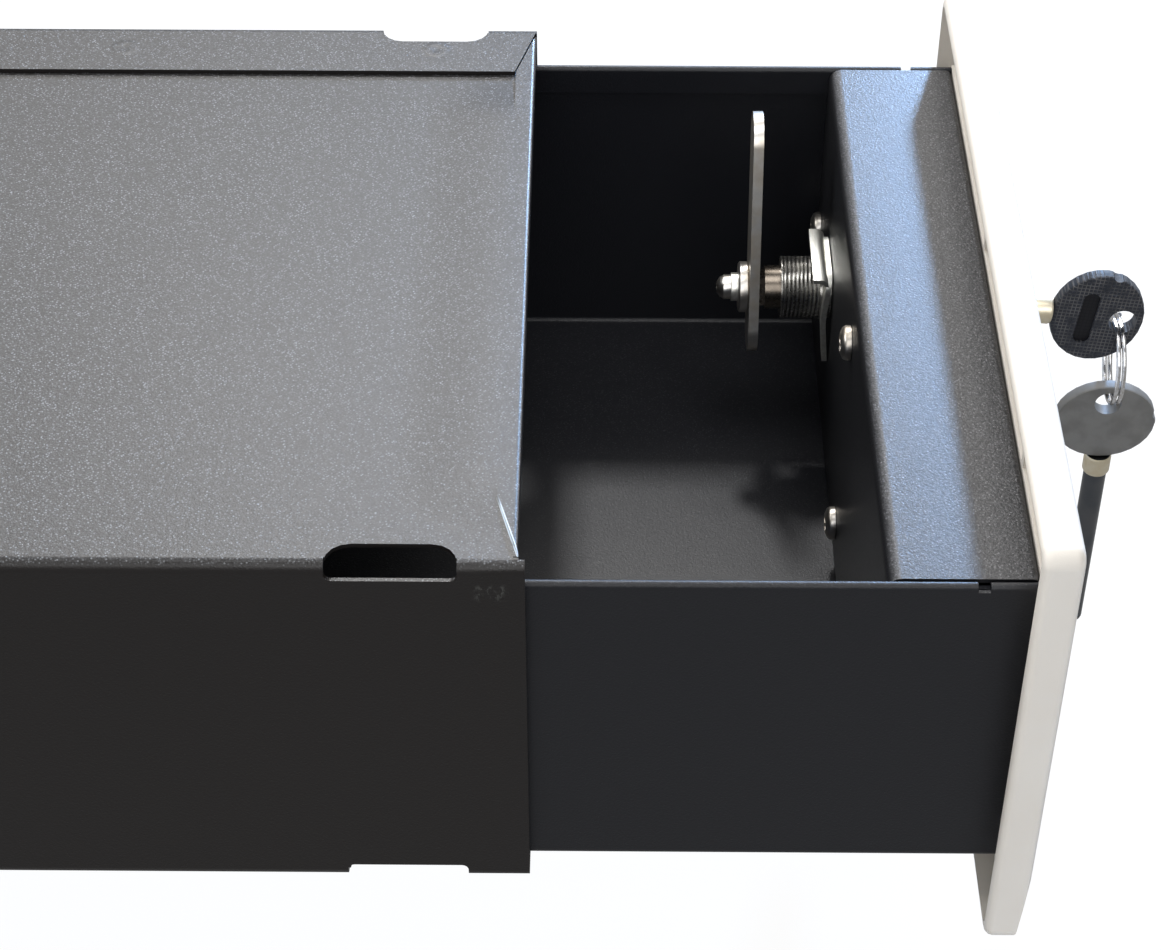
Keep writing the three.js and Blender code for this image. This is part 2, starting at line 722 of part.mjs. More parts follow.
function lockBody() {
  const head = turned([
    [0, lockHeadRear],
    [half(lockHeadDiameter), lockHeadRear],
    [half(lockHeadDiameter), lockHeadRear + lockHeadEdgeHeight],
    [half(lockFaceDiameter), lockFaceX],
    [0, lockFaceX],
  ]);
  const barrel = pushX(flattedOutline(half(lockBarrelDiameter), barrelFlatAside),
    innerWallX - barrelBehindWall, lockHeadRear + half(lockHeadHeight));
  const bore = rod(half(plugDiameter) + slip, innerWallX - barrelBehindWall - overrun, lockFaceX + overrun,
    roundSteps);
  const groove = pushX(clipPlan(slip), innerWallX - 2 * seat - clipThickness - clipBow,
    innerWallX - half(seat));
  return head.add(barrel).subtract(groove).subtract(bore);
}

function lockClip() {
  const face = innerWallX - seat - half(clipThickness);
  const span = half(clipAbove + clipBelow) + overrun;
  const middle = half(clipAbove - clipBelow);
  const bowed = foldedSheet([
    [middle - span, face],
    [middle, face - clipBow],
    [middle + span, face],
  ], clipThickness, 2 * span);
  return pushX(clipPlan(0), face - clipBow - overrun, innerWallX)
    .intersect(pushY(bowed, -clipWidth, clipWidth));
}

// Lock core: plug, square post and the ring-shaped key way with its centre pin
const squarePost = 9;
const keyWayDepth = 9;
const keyWayClear = 0.6;
const keyBore = 5.4;
const keyBoreDepth = 11;
const centrePinClear = 0.6;
const pinDiameter = 1.2;
const pinCount = 7;
const pinLength = 7;
const pinSlip = 0.1;
const plugRearX = innerWallX - plugBehindWall;
const plugFaceX = lockFaceX - stackGap;
const keyWayFloor = plugFaceX - keyWayDepth;
const keyWayRadius = half(keyShaftDiameter) + keyWayClear;
const centrePinRadius = half(keyBore) - centrePinClear;
const pinCircleRadius = half(keyWayRadius + centrePinRadius);

const pinPlaces = Array.from({ length: pinCount }, (_, index) => {
  const angle = turn * index / pinCount;
  return [0, pinCircleRadius * Math.cos(angle), pinCircleRadius * Math.sin(angle)];
});

function lockCore() {
  const post = block(camRearX + stackGap, plugRearX + overrun, -half(squarePost), half(squarePost),
    -half(squarePost), half(squarePost));
  const keyWay = circle(keyWayRadius);
  keyWay.holes.push(circle(centrePinRadius));
  const pinHole = rod(half(pinDiameter) + pinSlip, keyWayFloor - pinLength - seat,
    keyWayFloor + half(keyWayDepth), tinyRoundSteps);
  const screwHole = rod(half(camScrewDiameter) + slip, camRearX - overrun,
    camRearX - camWasherThickness - springWasherThickness + camScrewLength + seat);
  return rod(half(plugDiameter), plugRearX, plugFaceX, roundSteps)
    .add(post)
    .subtract(pushX(keyWay, keyWayFloor, plugFaceX + overrun))
    .subtract(union(pinPlaces.map((place) => pinHole.translate(place))))
    .subtract(screwHole);
}

function lockPin() {
  return rod(half(pinDiameter), keyWayFloor - pinLength, keyWayFloor, tinyRoundSteps);
}

function lockCam() {
  const outline = shapeOf([
    ...arcPoints([0, camReach], camHalfWidth, 0, Math.PI, roundSteps / 2),
    ...arcPoints([0, -camTail], camHalfWidth, Math.PI, turn, roundSteps / 2),
  ]);
  const hole = half(squarePost) + slip;
  outline.holes.push(rectangle(-hole, hole, -hole, hole));
  return pushX(outline, camRearX, camFrontX);
}

function camWasher() {
  const front = camRearX - stackGap;
  const back = front - camWasherThickness + stackGap;
  const bore = half(camScrewDiameter) + slip;
  const outer = half(camWasherDiameter);
  return turned([
    [bore, back],
    [outer - camWasherEdge, back],
    [outer, back + camWasherEdge],
    [outer, front - camWasherEdge],
    [outer - camWasherEdge, front],
    [bore, front],
    [bore, back],
  ], middleRoundSteps);
}

// Spring washer: a split ring
const springSplit = 0.9;
function camSpringWasher() {
  const front = camRearX - camWasherThickness - stackGap;
  const back = front - springWasherThickness + stackGap;
  const ring = circle(half(springWasherDiameter), [0, 0], middleRoundSteps);
  ring.holes.push(circle(half(camScrewDiameter) + slip, [0, 0], middleRoundSteps));
  const split = block(back - overrun, front + overrun, -half(springSplit), half(springSplit),
    0, springWasherDiameter);
  return pushX(ring, back, front).subtract(split);
}

function camScrew() {
  const back = camRearX - camWasherThickness - springWasherThickness - stackGap;
  const head = half(camScrewHeadDiameter);
  const end = back - camScrewHeadHeight;
  const radius = half(camScrewDiameter);
  const dome = camScrewDomeProfile.map(([diameter, down]) => [half(diameter), end - camScrewDome + down]);
  const screw = turned([
    [0, end - camScrewDome],
    ...dome,
    [head, end],
    [head, back],
    [radius, back],
    [radius, back + camScrewLength],
    [0, back + camScrewLength],
  ], middleRoundSteps);
  const drive = end - camScrewDome;
  const { length, width, depth } = camScrewSlot;
  const bar = block(drive - overrun, drive + depth, -half(length), half(length), -half(width), half(width));
  return screw.subtract(bar).subtract(bar.rotate([rightAngle, 0, 0]));
}

// Keys: drawn with the shaft along X, the collar end of the shaft at zero and the bow beyond it
const collarLength = 7;
const collarDiameter = 8.8;
const collarEdge = 0.7;
const collarBevel = 0.35;
const shaftEndBevel = 0.2;
const tongueLength = 9;
const tongueWidth = 6;
const tongueThickness = 2;
const bowThickness = 4.6;
const bowEdge = 0.9;
const bowHoleDiameter = 8.6;
const bowHoleOffset = 8;
const bowNotchRadius = 2.4;
const bowNotchAlong = 3.4;
const bowNotchStandOff = 1;
const gripLength = 19;
const gripWidth = 5.2;
const gripEndRadius = 2.45;
const gripDepth = 0.8;
const gripOffset = 3.4;
const bowCentreX = collarLength + stackGap + half(bowLength);
const bowHoleX = bowCentreX + bowHoleOffset;

function keyShaft() {
  const radius = half(keyShaftDiameter);
  const shaft = turned([
    [0, -keyShaftLength + keyBoreDepth],
    [half(keyBore), -keyShaftLength + keyBoreDepth],
    [half(keyBore), -keyShaftLength],
    [radius - shaftEndBevel, -keyShaftLength],
    [radius, -keyShaftLength + collarEdge],
    [radius, collarLength - slip],
    [0, collarLength - slip],
  ]);
  const tongue = block(half(collarLength), collarLength + tongueLength, -half(tongueThickness),
    half(tongueThickness), -half(tongueWidth), half(tongueWidth));
  return shaft.add(tongue);
}

function keyCollar() {
  const bore = half(keyShaftDiameter) + slip;
  const outer = half(collarDiameter);
  return turned([
    [bore, 0],
    [outer - collarBevel, 0],
    [outer, collarEdge],
    [outer, collarLength - collarEdge],
    [outer - collarBevel, collarLength],
    [bore, collarLength],
    [bore, 0],
  ]);
}

// The bow lies in the X and Z plane, so it is drawn as Z and X and pushed along Y
function keyBow() {
  const outline = [];
  for (let step = 0; step < roundSteps; step += 1) {
    const angle = turn * step / roundSteps;
    outline.push([
      (half(bowWidth) - bowEdge) * Math.sin(angle),
      bowCentreX + (half(bowLength) - bowEdge) * Math.cos(angle),
    ]);
  }
  const disc = new THREE.ExtrudeGeometry(shapeOf(outline), {
    depth: bowThickness - 2 * bowEdge,
    bevelEnabled: true,
    bevelThickness: bowEdge,
    bevelSize: bowEdge,
    bevelSegments: fewBendSteps,
  });
  disc.translate(0, 0, -half(bowThickness) + bowEdge).applyMatrix4(alongY);
  const hole = pushY(circle(half(bowHoleDiameter), [0, bowHoleX]), -bowThickness, bowThickness);
  const notchCentre = [half(bowWidth) + bowNotchStandOff, bowCentreX + bowNotchAlong];
  const notch = pushY(circle(bowNotchRadius, notchCentre, smallRoundSteps), -bowThickness, bowThickness);
  const gripX = bowCentreX - gripOffset;
  const gripOutline = roundedRectangle(-half(gripLength), half(gripLength),
    gripX - half(gripWidth), gripX + half(gripWidth), gripEndRadius);
  const grip = pushY(gripOutline, -bowThickness, -half(bowThickness) + gripDepth);
  const pocket = block(0, collarLength + tongueLength + slip, -half(tongueThickness) - slip,
    half(tongueThickness) + slip, -half(tongueWidth) - slip, half(tongueWidth) + slip);
  return solid(disc).subtract(hole).subtract(notch).subtract(grip).subtract(pocket);
}

// Split ring: two turns of wire in the Y and Z plane, centred on the origin
const ringOuterDiameter = 29.5;
const ringWire = 1.5;
const ringCoilGap = 0.25;
const ringTurns = 2;
const ringStepsPerTurn = 26;
const ringStartAngle = THREE.MathUtils.degToRad(45);
const ringRadius = half(ringOuterDiameter - ringWire);
const ringPitch = ringWire + ringCoilGap;

class RingCoil extends THREE.Curve {
  getPoint(share, target = new THREE.Vector3()) {
    const angle = turn * ringTurns * share + ringStartAngle;
    const x = ringPitch * (ringTurns * share - half(ringTurns));
    return target.set(x, ringRadius * Math.cos(angle), ringRadius * Math.sin(angle));
  }
}

function splitRing() {
  const wire = circle(half(ringWire), [0, 0], tinyRoundSteps);
  return solid(new THREE.ExtrudeGeometry(wire, {
    steps: ringTurns * ringStepsPerTurn,
    extrudePath: new RingCoil(),
    bevelEnabled: false,
  }));
}

// How far a bow's hole hangs from the wire that carries it: the wire's curve takes some of the hole's
// height, and the coil's breadth some more
const ringSag = half(bowThickness) ** 2 / (2 * ringRadius);
const wireReach = half(bowHoleDiameter) - half(ringWire) - seat - ringSag;
const hangDrop = Math.sqrt(wireReach ** 2 - (ringPitch * half(ringTurns)) ** 2);

// The whole: the sleeve from its mouth, the drawer from its wall tops
const safe = new THREE.Group();
const sleeveGroup = new THREE.Group();
sleeveGroup.position.set(topSetBack + half(hemWidth), 0, -lapTop);
safe.add(sleeveGroup);
sleeveGroup.add(
  piece('sleeve_shell', sleeveShell().subtract(rivetHoles), powderCoat()),
  piece('sleeve_back_plate', backPlate(), powderCoat()),
  piece('lock_strike', lockStrike(), zincSteel()),
  piece('glide_strip_near', glideStrip(-1), nylon()),
  piece('glide_strip_far', glideStrip(1), nylon()),
);
for (const { where, turnZ, turnY, place } of rivetSeats) {
  const rivet = piece(`back_rivet_${where}`, backRivet(), zincSteel());
  rivet.rotation.set(0, turnY, turnZ);
  rivet.position.set(...place);
  sleeveGroup.add(rivet);
}

const drawerGroup = new THREE.Group();
drawerGroup.position.set(0, 0, -drawerDrop);
sleeveGroup.add(drawerGroup);
drawerGroup.add(
  piece('drawer_tray', drawerTray(), drawerPaint()),
  piece('drawer_back', drawerBack(), drawerPaint()),
  piece('front_box', frontBox(), drawerPaint()),
  piece('front_panel', frontPanel(), creamMoulding()),
);
for (const { where, aside, down } of screwPlaces) {
  const screw = piece(`panel_screw_${where}`, panelScrew(), zincSteel());
  const spacer = piece(`panel_spacer_${where}`, panelSpacer(), zincSteel());
  screw.position.set(0, aside, -down);
  spacer.position.set(0, aside, -down);
  drawerGroup.add(screw, spacer);
}

const lockGroup = new THREE.Group();
lockGroup.position.set(0, lockAside, -lockDown);
drawerGroup.add(lockGroup);
lockGroup.add(
  piece('lock_body', lockBody(), castZinc()),
  piece('lock_clip', lockClip(), springSteel()),
);

// What turns with the key: a positive turn about X tips the cam's top towards the near side
const coreGroup = new THREE.Group();
coreGroup.rotation.x = -camTilt;
lockGroup.add(coreGroup);
coreGroup.add(
  piece('lock_core', lockCore(), castZinc()),
  piece('lock_cam', lockCam(), zincSteel()),
  piece('cam_washer', camWasher(), zincSteel()),
  piece('cam_spring_washer', camSpringWasher(), springSteel()),
  piece('cam_screw', camScrew(), zincSteel()),
);
pinPlaces.forEach((place, index) => {
  const pin = piece(`lock_pin_${index + 1}`, lockPin(), brassCollar());
  pin.position.set(...place);
  coreGroup.add(pin);
});

// The key pivots where it engages, and droops from there
const keyTipGap = 1;
const keyTipX = keyWayFloor + keyTipGap;
const keyPivotX = half(keyTipX + plugFaceX);
const keyCollarX = keyTipX + keyShaftLength - keyPivotX;
const keyGroup = new THREE.Group();
keyGroup.position.set(keyPivotX, 0, 0);
keyGroup.rotation.y = keyDroop;
lockGroup.add(keyGroup);
const keyPieces = new THREE.Group();
keyPieces.position.x = keyCollarX;
keyGroup.add(keyPieces);
keyPieces.add(
  piece('key_shaft', keyShaft(), darkShaftSteel()),
  piece('key_collar', keyCollar(), brassCollar()),
  piece('key_bow', keyBow(), blackBow()),
);

// The ring hangs in the first key's hole, and the spare key hangs on the ring
const holeAlong = keyCollarX + bowHoleX;
const holeX = keyPivotX + holeAlong * Math.cos(keyDroop);
const holeZ = -holeAlong * Math.sin(keyDroop);
const ringGroup = new THREE.Group();
ringGroup.position.set(holeX, 0, holeZ - hangDrop - ringRadius);
lockGroup.add(ringGroup);
ringGroup.add(piece('split_ring', splitRing(), chromeWire()));

const spareGroup = new THREE.Group();
spareGroup.position.set(0, 0, -ringRadius - hangDrop);
spareGroup.rotation.set(0, -quarter, 0);
ringGroup.add(spareGroup);
const sparePieces = new THREE.Group();
sparePieces.position.x = -bowHoleX;
sparePieces.rotation.x = Math.PI;
spareGroup.add(sparePieces);
sparePieces.add(
  piece('spare_key_shaft', keyShaft(), darkShaftSteel()),
  piece('spare_key_collar', keyCollar(), brassCollar()),
  piece('spare_key_bow', keyBow(), blackBow()),
);

export default safe;
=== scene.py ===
"""The under desk drawer safe as the photograph shows it: looks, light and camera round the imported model.

Metres, in the model's own frame: +X the way the drawer opens, +Y the lock's side, +Z up to the desk.
"""

import math

import bmesh
import bpy
from mathutils import Matrix, Vector


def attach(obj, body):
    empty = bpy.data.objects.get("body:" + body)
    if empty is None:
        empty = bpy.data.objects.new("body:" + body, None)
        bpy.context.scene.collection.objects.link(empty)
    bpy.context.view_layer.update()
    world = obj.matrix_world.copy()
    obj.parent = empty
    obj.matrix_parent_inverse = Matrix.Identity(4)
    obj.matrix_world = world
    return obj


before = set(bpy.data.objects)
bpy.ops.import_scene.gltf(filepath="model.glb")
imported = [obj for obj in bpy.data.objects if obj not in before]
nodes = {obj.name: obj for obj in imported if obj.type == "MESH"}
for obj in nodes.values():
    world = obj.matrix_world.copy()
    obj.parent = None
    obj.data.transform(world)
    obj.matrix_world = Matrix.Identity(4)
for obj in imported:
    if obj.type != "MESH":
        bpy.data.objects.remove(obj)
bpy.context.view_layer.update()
scene = bpy.context.scene

# Camera
# Solved on the edges of the photograph: it stands in front of the sleeve's mouth and looks down.
PHOTO_SIZE = (1161, 950)
CAMERA_PLACE = Vector((0.02080, -0.58733, 0.44377))
CAMERA_YAW = math.radians(-0.3415)
CAMERA_PITCH = math.radians(41.619)
CAMERA_ROLL = math.radians(0.106)
CAMERA_LENS = 82.67
CAMERA_SENSOR = 36.0

level = Vector((math.sin(CAMERA_YAW), math.cos(CAMERA_YAW), 0))
right = Vector((math.cos(CAMERA_YAW), -math.sin(CAMERA_YAW), 0))
sky = Vector((0, 0, 1))
forward = level * math.cos(CAMERA_PITCH) - sky * math.sin(CAMERA_PITCH)
above = level * math.sin(CAMERA_PITCH) + sky * math.cos(CAMERA_PITCH)
rolled_right = right * math.cos(CAMERA_ROLL) + above * math.sin(CAMERA_ROLL)
rolled_above = above * math.cos(CAMERA_ROLL) - right * math.sin(CAMERA_ROLL)

camera = bpy.data.objects.new("camera", bpy.data.cameras.new("camera"))
camera.data.sensor_width = CAMERA_SENSOR
camera.data.lens = CAMERA_LENS
camera.data.clip_start = 0.01
camera.matrix_world = (
    Matrix.Translation(CAMERA_PLACE)
    @ Matrix((rolled_right, rolled_above, -forward)).transposed().to_4x4()
)
scene.collection.objects.link(camera)
scene.camera = camera
scene.render.resolution_x, scene.render.resolution_y = PHOTO_SIZE
scene.view_settings.view_transform = "Standard"

# Light
# A broad soft light behind gives the sheen on the top, and two small ones behind cast the lock's and
# the panel's shadows. The rest fill: back right, overhead, left and front. A level of 1 turns a white
# face that looks at the light white.
LIGHT_TARGET = Vector((0.03, 0.0, -0.05))


def add_light(name, towards, distance, size, level, colour=(1, 1, 1)):
    lamp = bpy.data.lights.new(name, "AREA")
    lamp.shape = "RECTANGLE"
    lamp.size, lamp.size_y = size
    lamp.energy = level * (math.pi * distance) ** 2
    lamp.color = colour
    light = bpy.data.objects.new(name, lamp)
    away = Vector(towards).normalized()
    light.location = LIGHT_TARGET + away * distance
    light.rotation_euler = away.to_track_quat("Z", "Y").to_euler()
    scene.collection.objects.link(light)


add_light("light_high_back", (-0.12, 0.82, 1), 2.2, (0.2, 0.2), 0.36)
add_light("light_low_back", (0.768, 2.273, 1), 2.4, (0.2, 0.16), 1.5, (0.38, 0.61, 1))
add_light("light_sheen", (-0.25, 1.0, 0.88), 2.2, (2.1, 1.4), 0.5, (1, 0.97, 0.93))
add_light("light_right_back", (0.53, 0.8, 0.28), 2.4, (0.9, 0.5), 0.28, (1, 0.96, 0.9))
add_light("light_overhead", (0.1, -0.1, 1), 2.2, (1.0, 1.0), 0.3)
add_light("light_left", (-1, 0.1, 0.8), 2.2, (1.0, 1.0), 0.5)
add_light("light_front", (0.1, -1.0, 0.75), 2.2, (2.0, 1.4), 0.42)


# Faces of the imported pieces
# Round faces shade smoothly, and edges sharper than this stay crisp. The wire and the pins have few
# sides, so theirs is wider.
SHARP_ANGLE = math.radians(38)
FEW_SIDES_ANGLE = math.radians(50)
JOIN_REACH = 0.000005


def keep_edges(piece, angle):
    crease = piece.modifiers.new("keep_edges", "EDGE_SPLIT")
    crease.split_angle = angle
    crease.use_edge_sharp = False


for name, node in nodes.items():
    node.data.shade_smooth()
    join = node.modifiers.new("join_faces", "WELD")
    join.merge_threshold = JOIN_REACH
    few_sides = name == "split_ring" or name.startswith("lock_pin")
    keep_edges(node, FEW_SIDES_ANGLE if few_sides else SHARP_ANGLE)
    node.modifiers.new("weigh_flat_faces", "WEIGHTED_NORMAL")


# Sleeve shell and back plate
# Folded sheet steel under a dark powder coat, which dries in a fine satin grain with a few flecks in its
# relief. On upward faces the colour carries painted sheen: a paler grain, and the flecks painted bright as
# glints. The spot welds show through it on the lap, the near front corner is a little scuffed, and the near
# mitre's bare cut edge is painted bright bluish as a painted highlight.
MM_PER_METRE = 1000


class Number:
    """A number inside a material, so that its maths reads as plain expressions."""

    def __init__(self, paint, socket):
        self.paint = paint
        self.socket = socket

    def apply(self, operation, *values):
        return self.paint.node("Math", {"operation": operation}, dict(enumerate(values)))

    def __add__(self, other):
        return self.apply("ADD", self, other)

    def __sub__(self, other):
        return self.apply("SUBTRACT", self, other)

    def __mul__(self, other):
        return self.apply("MULTIPLY", self, other)

    def __truediv__(self, other):
        return self.apply("DIVIDE", self, other)

    def __radd__(self, other):
        return self.apply("ADD", other, self)

    def __rsub__(self, other):
        return self.apply("SUBTRACT", other, self)

    def __rmul__(self, other):
        return self.apply("MULTIPLY", other, self)

    def __abs__(self):
        return self.apply("ABSOLUTE", self)

    def between(self, low, high):
        """0 below low, 1 above high and a smooth step between."""
        settings = {"interpolation_type": "SMOOTHSTEP"}
        return self.paint.node("MapRange", settings, {"Value": self, "From Min": low, "From Max": high})

    def fraction(self):
        return self.apply("FRACT", self)


class Paint:
    """A procedural material on the way: places are in millimetres in the model's frame."""

    def __init__(self, name, colour, roughness, metallic=0.0):
        self.material = bpy.data.materials.new(name)
        self.material.use_nodes = True
        self.tree = self.material.node_tree
        self.shader = self.tree.nodes["Principled BSDF"]
        self.set("Base Color", (*colour, 1))
        self.set("Roughness", roughness)
        self.set("Metallic", metallic)

    def put(self, socket, value):
        if isinstance(value, Number):
            self.tree.links.new(value.socket, socket)
        else:
            socket.default_value = value

    def set(self, name, value):
        self.put(self.shader.inputs[name], value)

    def node(self, kind, settings, sockets, output=0):
        made = self.tree.nodes.new("ShaderNode" + kind)
        for name, value in settings.items():
            setattr(made, name, value)
        for key, value in sockets.items():
            self.put(made.inputs[key], value)
        return Number(self, made.outputs[output])

    def place(self, stretch=(1, 1, 1)):
        where = self.node("TexCoord", {}, {}, "Object")
        scale = tuple(MM_PER_METRE * share for share in stretch)
        return self.node("VectorMath", {"operation": "MULTIPLY"}, {0: where, 1: scale})

    def turned(self, stretch):
        """Places turned askew, so that no face lies along the noise's own lattice."""
        turn = {"Vector": self.place(stretch), "Rotation": (0.5, 0.7, 0.9)}
        return self.node("VectorRotate", {"rotation_type": "EULER_XYZ"}, turn)

    def axes(self):
        split = self.node("SeparateXYZ", {}, {"Vector": self.place()})
        return [Number(self, output) for output in split.socket.node.outputs]

    def distance(self, first, second):
        """How far a place stands from an axis, from its two steps away."""
        steps = self.node("CombineXYZ", {}, {"X": first, "Y": second, "Z": 0.0})
        return self.node("VectorMath", {"operation": "LENGTH"}, {0: steps}, "Value")

    def noise(self, scale, detail=2.0, stretch=(1, 1, 1), rough=0.5):
        sockets = {"Vector": self.turned(stretch), "Scale": scale, "Detail": detail, "Roughness": rough}
        return self.node("TexNoise", {}, sockets)

    def cells(self, scale, output="Distance"):
        return self.node("TexVoronoi", {}, {"Vector": self.turned((1, 1, 1)), "Scale": scale}, output)

    def specks(self, scale, rarity, core, rim):
        """Round specks of uneven strength, few of them bright: one in each cell, core to rim wide."""
        pick = self.node("SeparateColor", {}, {0: self.cells(scale, "Color")})
        return pick.apply("POWER", pick, rarity) * (1 - self.cells(scale).between(core, rim))

    def mix(self, share, first, second):
        sockets = {0: share, 6: (*first, 1) if isinstance(first, tuple) else first,
                   7: (*second, 1) if isinstance(second, tuple) else second}
        return self.node("Mix", {"data_type": "RGBA"}, sockets, 2)

    def bump(self, height, depth_mm, strength=1.0, under=None):
        sockets = {"Height": height, "Distance": depth_mm / MM_PER_METRE, "Strength": strength}
        if under:
            sockets["Normal"] = under
        return self.node("Bump", {}, sockets)

    def cover(self, *names):
        for name in names:
            slots = nodes[name].data.materials
            slots.clear()
            slots.append(self.material)


def powder_coat(name, deep, pale, roughness, relief, painted_glint):
    coat = Paint(name, deep, roughness)
    coat.set("Specular IOR Level", 0.4)
    grain = coat.noise(1.5, 3.0, rough=0.65)
    fleck_and_glint = coat.specks(0.45, 16.0, 0.06, 0.18) + coat.specks(1.6, 2.2, 0.1, 0.6)
    normal = coat.node("NewGeometry", {}, {}, "Normal")
    # Painted sheen and glints: the paler grain and the bright flecks go into the colour on upward faces
    # only.
    painted_sheen_on_tops = coat.node("SeparateXYZ", {}, {"Vector": normal}, "Z").between(0.5, 0.9)
    coat.grain_bump = coat.bump(grain + fleck_and_glint * 0.3, relief, 1.0)
    grain_and_painted_sheen = coat.mix(grain.between(0.4, 0.62) * painted_sheen_on_tops, deep, pale)
    coat.colour = coat.mix(fleck_and_glint * painted_sheen_on_tops, grain_and_painted_sheen, painted_glint)
    coat.set("Base Color", coat.colour)
    coat.set("Roughness", roughness - 0.08 + 0.16 * grain)
    coat.set("Normal", coat.grain_bump)
    return coat


SLEEVE_MOUTH = 4.5
WELD_ASIDE = 107.75
WELD_FROM_MOUTH = 32
WELD_SPACING = 95.33
WELD_COUNT = 4
WELD_RADIUS = 2.6
MITRE_START = (-2.9, -95.5)
MITRE_END = (2.9, -116.7)
sleeve_coat = powder_coat("powder_coat", (0.0105, 0.0086, 0.0082), (0.03, 0.029, 0.029), 0.36, 0.1,
                          (0.21, 0.22, 0.235))
along, aside, up = sleeve_coat.axes()
weld = 0.0
for index in range(WELD_COUNT):
    place = SLEEVE_MOUTH - WELD_FROM_MOUTH - WELD_SPACING * index
    away = sleeve_coat.distance(along - place, aside - WELD_ASIDE)
    weld = weld + (1 - abs(away - WELD_RADIUS).between(0.2, 2.2))
weld = weld * up.between(-1.3, -0.8)
scrape = sleeve_coat.noise(0.8, 3.0, (1, 1, 0.5), 0.7).between(0.5, 0.66)
near_mouth = along.between(-9, -6) * (1 - along.between(-1, 1))
below_top = up.between(-14, -11) * (1 - up.between(-9, -7))
scuff = scrape * near_mouth * below_top * (1 - aside.between(-119.5, -119))
mitre_length = math.dist(MITRE_START, MITRE_END)
mitre_along = (MITRE_END[0] - MITRE_START[0]) / mitre_length
mitre_aside = (MITRE_END[1] - MITRE_START[1]) / mitre_length
off_mitre = (along - MITRE_START[0]) * mitre_aside - (aside - MITRE_START[1]) * mitre_along
down_mitre = (along - MITRE_START[0]) * mitre_along + (aside - MITRE_START[1]) * mitre_aside
# The mitre's cut edge is painted bright bluish: bare steel with a painted highlight on it.
bare_edge_painted_highlight = (1 - abs(off_mitre).between(0.15, 0.4)) * down_mitre.between(-0.5, 6) * up.between(-1.38, -1.3)
bare_edge_painted_highlight = bare_edge_painted_highlight * (1 - down_mitre.between(mitre_length, mitre_length + 0.3))
rubbed = sleeve_coat.mix(scuff * 0.55, sleeve_coat.colour, (0.1, 0.104, 0.096))
sleeve_coat.set("Base Color", sleeve_coat.mix(bare_edge_painted_highlight, rubbed, (0.55, 0.63, 0.72)))
sleeve_coat.set("Normal", sleeve_coat.bump(weld, 0.3, 0.35, sleeve_coat.grain_bump))
sleeve_coat.cover("sleeve_shell", "sleeve_back_plate")

# Front roll
# The coat fills the step behind the folded front edge, so that the top runs up to it in one smooth
# sweep. The roll is a thin wedge that sinks into the top at both ends, beside the mitres.
ROLL_NEAR = -116.0
ROLL_FAR = 95.3
ROLL_FALLS_NEAR = 32.0
ROLL_FALLS_FAR = 24.0
ROLL_BACK = -30.0
ROLL_SLANT = 0.9
ROLL_FRONT = 1.4
ROLL_PAST_MITRE = 0.3
ROLL_LOW = -1.41
ROLL_HIGH = 0.03
ROLL_SUNK = 0.1
ROLL_ROWS = 72
ROLL_COLUMNS = 14


def ease(share):
    held = min(1, max(0, share))
    return held * held * (3 - 2 * held)


def metres(x_mm, y_mm, z_mm):
    return x_mm / MM_PER_METRE, y_mm / MM_PER_METRE, z_mm / MM_PER_METRE


def draw_piece(name, net, paint):
    """Turns a net of faces into a smooth piece of the scene."""
    bmesh.ops.recalc_face_normals(net, faces=net.faces)
    data = bpy.data.meshes.new(name)
    net.to_mesh(data)
    net.free()
    data.shade_smooth()
    data.materials.append(paint.material)
    piece = bpy.data.objects.new(name, data)
    scene.collection.objects.link(piece)
    return piece


mitre_slant = (MITRE_END[0] - MITRE_START[0]) / (MITRE_END[1] - MITRE_START[1])
roll_net = bmesh.new()
rows = []
for row in range(ROLL_ROWS + 1):
    aside_mm = ROLL_NEAR + (ROLL_FAR - ROLL_NEAR) * row / ROLL_ROWS
    past_mitre = max(0, MITRE_START[1] - aside_mm)
    edge = MITRE_START[0] - past_mitre * mitre_slant
    back = ROLL_BACK + ROLL_SLANT * past_mitre
    front = edge + ROLL_PAST_MITRE if past_mitre else ROLL_FRONT
    climb = ease((aside_mm - ROLL_NEAR) / ROLL_FALLS_NEAR) * ease((ROLL_FAR - aside_mm) / ROLL_FALLS_FAR)
    high = ROLL_LOW + (ROLL_HIGH - ROLL_LOW) * climb
    points = []
    for column in range(ROLL_COLUMNS + 1):
        across = column / ROLL_COLUMNS
        points.append((back + (edge - back) * across, ROLL_LOW + (high - ROLL_LOW) * ease(across)))
    points += [(front, high), (front, ROLL_LOW - ROLL_SUNK), (back, ROLL_LOW - ROLL_SUNK)]
    rows.append([roll_net.verts.new(metres(x, aside_mm, z)) for x, z in points])
for first, second in zip(rows, rows[1:]):
    for index in range(len(first)):
        after = (index + 1) % len(first)
        roll_net.faces.new((first[index], first[after], second[after], second[index]))
roll_net.faces.new(rows[0])
roll_net.faces.new(reversed(rows[-1]))
front_roll = draw_piece("front_roll", roll_net, sleeve_coat)
keep_edges(front_roll, SHARP_ANGLE)
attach(front_roll, "sleeve")

# Drawer tray, back and front box
# The same coat on thinner sheet, a little smoother and bluer. The front box is bent from one strip, and its
# top carries painted sheen: a paler grain and bright flecks painted as glints. The tray's upward faces get
# the same painted sheen, faintly.
drawer_coat = powder_coat("drawer_paint", (0.0085, 0.0092, 0.0125), (0.011, 0.0115, 0.0145), 0.42, 0.1,
                          (0.04, 0.04, 0.045))
drawer_coat.cover("drawer_tray", "drawer_back")
box_coat = powder_coat("front_box_paint", (0.0085, 0.0088, 0.0105), (0.045, 0.045, 0.048), 0.38, 0.12,
                       (0.16, 0.16, 0.17))
box_coat.cover("front_box")

